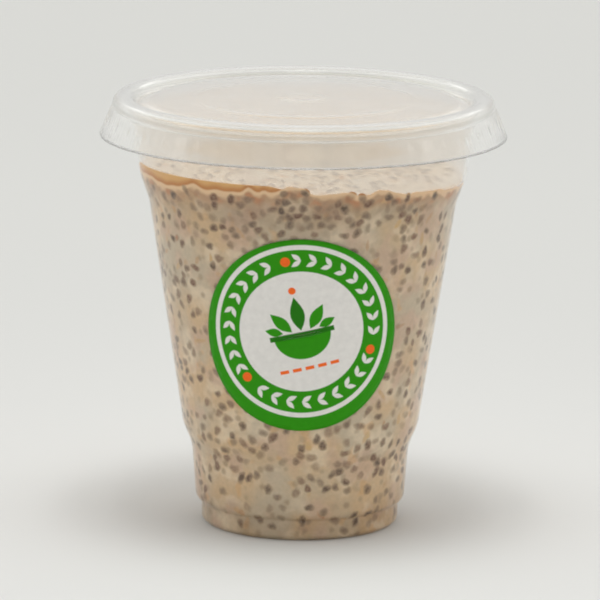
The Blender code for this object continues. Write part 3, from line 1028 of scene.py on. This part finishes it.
def make_floor():
    """White floor that is a little lighter far behind the cup, painted light that makes up for the soft
    box's falloff.
    """
    mesh = bpy.data.meshes.new("floor")
    corners = [(x * FLOOR_HALF, y * FLOOR_HALF, 0.0) for x, y in ((-1, -1), (1, -1), (1, 1), (-1, 1))]
    mesh.from_pydata(corners, [], [(0, 1, 2, 3)])
    material, tree, shader, _ = new_material("floor_white")
    depth = add(tree, "ShaderNodeSeparateXYZ", {"Vector": object_place(tree)}).outputs["Y"]
    # Painted light: lighter towards the back, in place of the soft box's falloff
    color = mix_colors(tree, ramp(tree, depth, FLOOR_NEAR_Y, FLOOR_FAR_Y), FLOOR_NEAR, FLOOR_FAR)
    feed(tree, shader, {"Base Color": color, "Roughness": 0.75, "Specular IOR Level": 0.15})
    floor = new_object("floor", mesh, material)


# Surroundings: brightness towards the camera, low and high behind the cup, share right above
FRONT_LEVEL, BACK_LOW_LEVEL, BACK_HIGH_LEVEL, ZENITH_SHARE = 0.58, 0.71, 0.91, 0.72
SKY_COLOR = (1.0, 1.0, 0.985, 1.0)
# Where that changes, as parts of a direction: upwards at the back, from front to back, overhead
BACK_RISE, TO_BACK, OVERHEAD = (0.05, 0.55), (-0.8, 0.4), (0.75, 0.95)
# Soft panels, mirrored from right to left: direction, radius and soft edge in degrees, glow
SOFT_PANELS = (
    ((0.86, 0.34, 0.38), 32.0, 18.0, 0.24),
    ((0.34, 0.82, 0.45), 6.0, 3.0, 0.8),
    ((0.91, -0.19, 0.36), 5.0, 3.0, 0.8),
    ((0.0, -0.12, 1.0), 7.0, 3.0, 2.0),
)

# Soft box above the cup: width, depth and place in metres, power and tilt
BOX_WIDTH, BOX_DEPTH, BOX_POWER = 0.075, 0.115, 0.49
BOX_PLACE, BOX_TILT_DEG = (0.0, -0.053, 0.36), -8.4


def make_surroundings():
    """White surroundings, brighter behind the cup and dimmer towards the camera."""
    world = bpy.data.worlds.new("surroundings")
    bpy.context.scene.world = world
    world.use_nodes = True
    tree = world.node_tree
    way = add(tree, "ShaderNodeTexCoord").outputs["Generated"]
    parts = add(tree, "ShaderNodeSeparateXYZ", {"Vector": way}).outputs
    back = ramp(tree, parts["Z"], *BACK_RISE, BACK_LOW_LEVEL, BACK_HIGH_LEVEL)
    strength = ramp(tree, parts["Y"], *TO_BACK, FRONT_LEVEL, back)
    overhead = ramp(tree, parts["Z"], *OVERHEAD, 1.0, ZENITH_SHARE)
    strength = math_node(tree, "MULTIPLY", strength, overhead)
    folded = add(tree, "ShaderNodeCombineXYZ", {
        "X": math_node(tree, "ABSOLUTE", parts["X"], 0.0), "Y": parts["Y"], "Z": parts["Z"],
    }).outputs[0]
    for middle, radius, edge, glow in SOFT_PANELS:
        toward = add(tree, "ShaderNodeVectorMath", {0: folded, 1: Vector(middle).normalized()},
                     operation="DOT_PRODUCT").outputs["Value"]
        inner, outer = math.cos(math.radians(radius - edge)), math.cos(math.radians(radius + edge))
        strength = math_node(tree, "ADD", strength, ramp(tree, toward, outer, inner, 0.0, glow))
    feed(tree, tree.nodes["Background"], {"Color": SKY_COLOR, "Strength": strength})


def make_soft_box():
    """Lamp for the shadow and the pudding's light, hidden from mirrored and refracted rays."""
    light = bpy.data.lights.new("soft_box", "AREA")
    light.shape = "RECTANGLE"
    light.size = BOX_WIDTH
    light.size_y = BOX_DEPTH
    light.energy = BOX_POWER
    lamp = bpy.data.objects.new("soft_box", light)
    lamp.location = BOX_PLACE
    lamp.rotation_euler = (math.radians(BOX_TILT_DEG), 0.0, 0.0)
    lamp.visible_glossy = False
    lamp.visible_transmission = False
    bpy.context.scene.collection.objects.link(lamp)


# Camera: place in metres, tilt down, roll, and lens in millimetres
CAMERA_PLACE = (-0.00044, -1.4264, 0.348)
CAMERA_DOWN_DEG, CAMERA_ROLL_DEG = 11.53, 0.6
CAMERA_LENS, CAMERA_SENSOR = 343.36, 36.0
CAMERA_NEAREST = 0.05
# Most bounces of a ray, and most clear sheets that it crosses straight
BOUNCES, CLEAR_SHEETS = 24, 32


def make_camera():
    lens = bpy.data.cameras.new("camera")
    lens.sensor_width = CAMERA_SENSOR
    lens.lens = CAMERA_LENS
    lens.clip_start = CAMERA_NEAREST
    camera = bpy.data.objects.new("camera", lens)
    camera.matrix_world = (Matrix.Translation(CAMERA_PLACE)
                           @ Matrix.Rotation(math.radians(90.0 - CAMERA_DOWN_DEG), 4, "X")
                           @ Matrix.Rotation(math.radians(CAMERA_ROLL_DEG), 4, "Z"))
    bpy.context.scene.collection.objects.link(camera)
    bpy.context.scene.camera = camera


def set_render():
    """Plain colour transform, and bounces enough for the sheets of cup and lid."""
    settings = bpy.context.scene
    settings.view_settings.view_transform = "Standard"
    settings.cycles.use_denoising = True
    settings.cycles.filter_width = 2.0
    settings.cycles.max_bounces = BOUNCES
    settings.cycles.glossy_bounces = BOUNCES
    settings.cycles.transmission_bounces = BOUNCES
    settings.cycles.transparent_max_bounces = CLEAR_SHEETS
    settings.cycles.caustics_refractive = False
    settings.cycles.caustics_reflective = False


def main():
    cream = matrix_group()
    cup = make_cup(clear_plastic("cup_plastic", CUP_TINT, roughness=0.03, ripple=0.04, edge_share=0.70))
    lid = make_lid(clear_plastic("lid_plastic", LID_TINT, roughness=0.11, ripple=0.04, edge_share=0.20))
    pudding = make_pudding(cream_material(cream))
    seeds = make_seeds(seed_material(cream))
    flecks = make_flecks(fleck_material(cream))
    mist = make_mist(mist_material())
    label = make_label()
    for piece, slot in (
        (cup, "cup_plastic"), (lid, "lid_plastic"), (pudding, "pudding"), (seeds, "pudding"),
        (flecks, "pudding"), (mist, "cup_plastic"), (label, "sticker"),
    ):
        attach(piece, "root")
    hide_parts("cup")
    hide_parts("lid")
    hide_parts("pudding")
    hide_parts("label")
    make_floor()
    make_surroundings()
    make_soft_box()
    make_camera()
    set_render()


main()
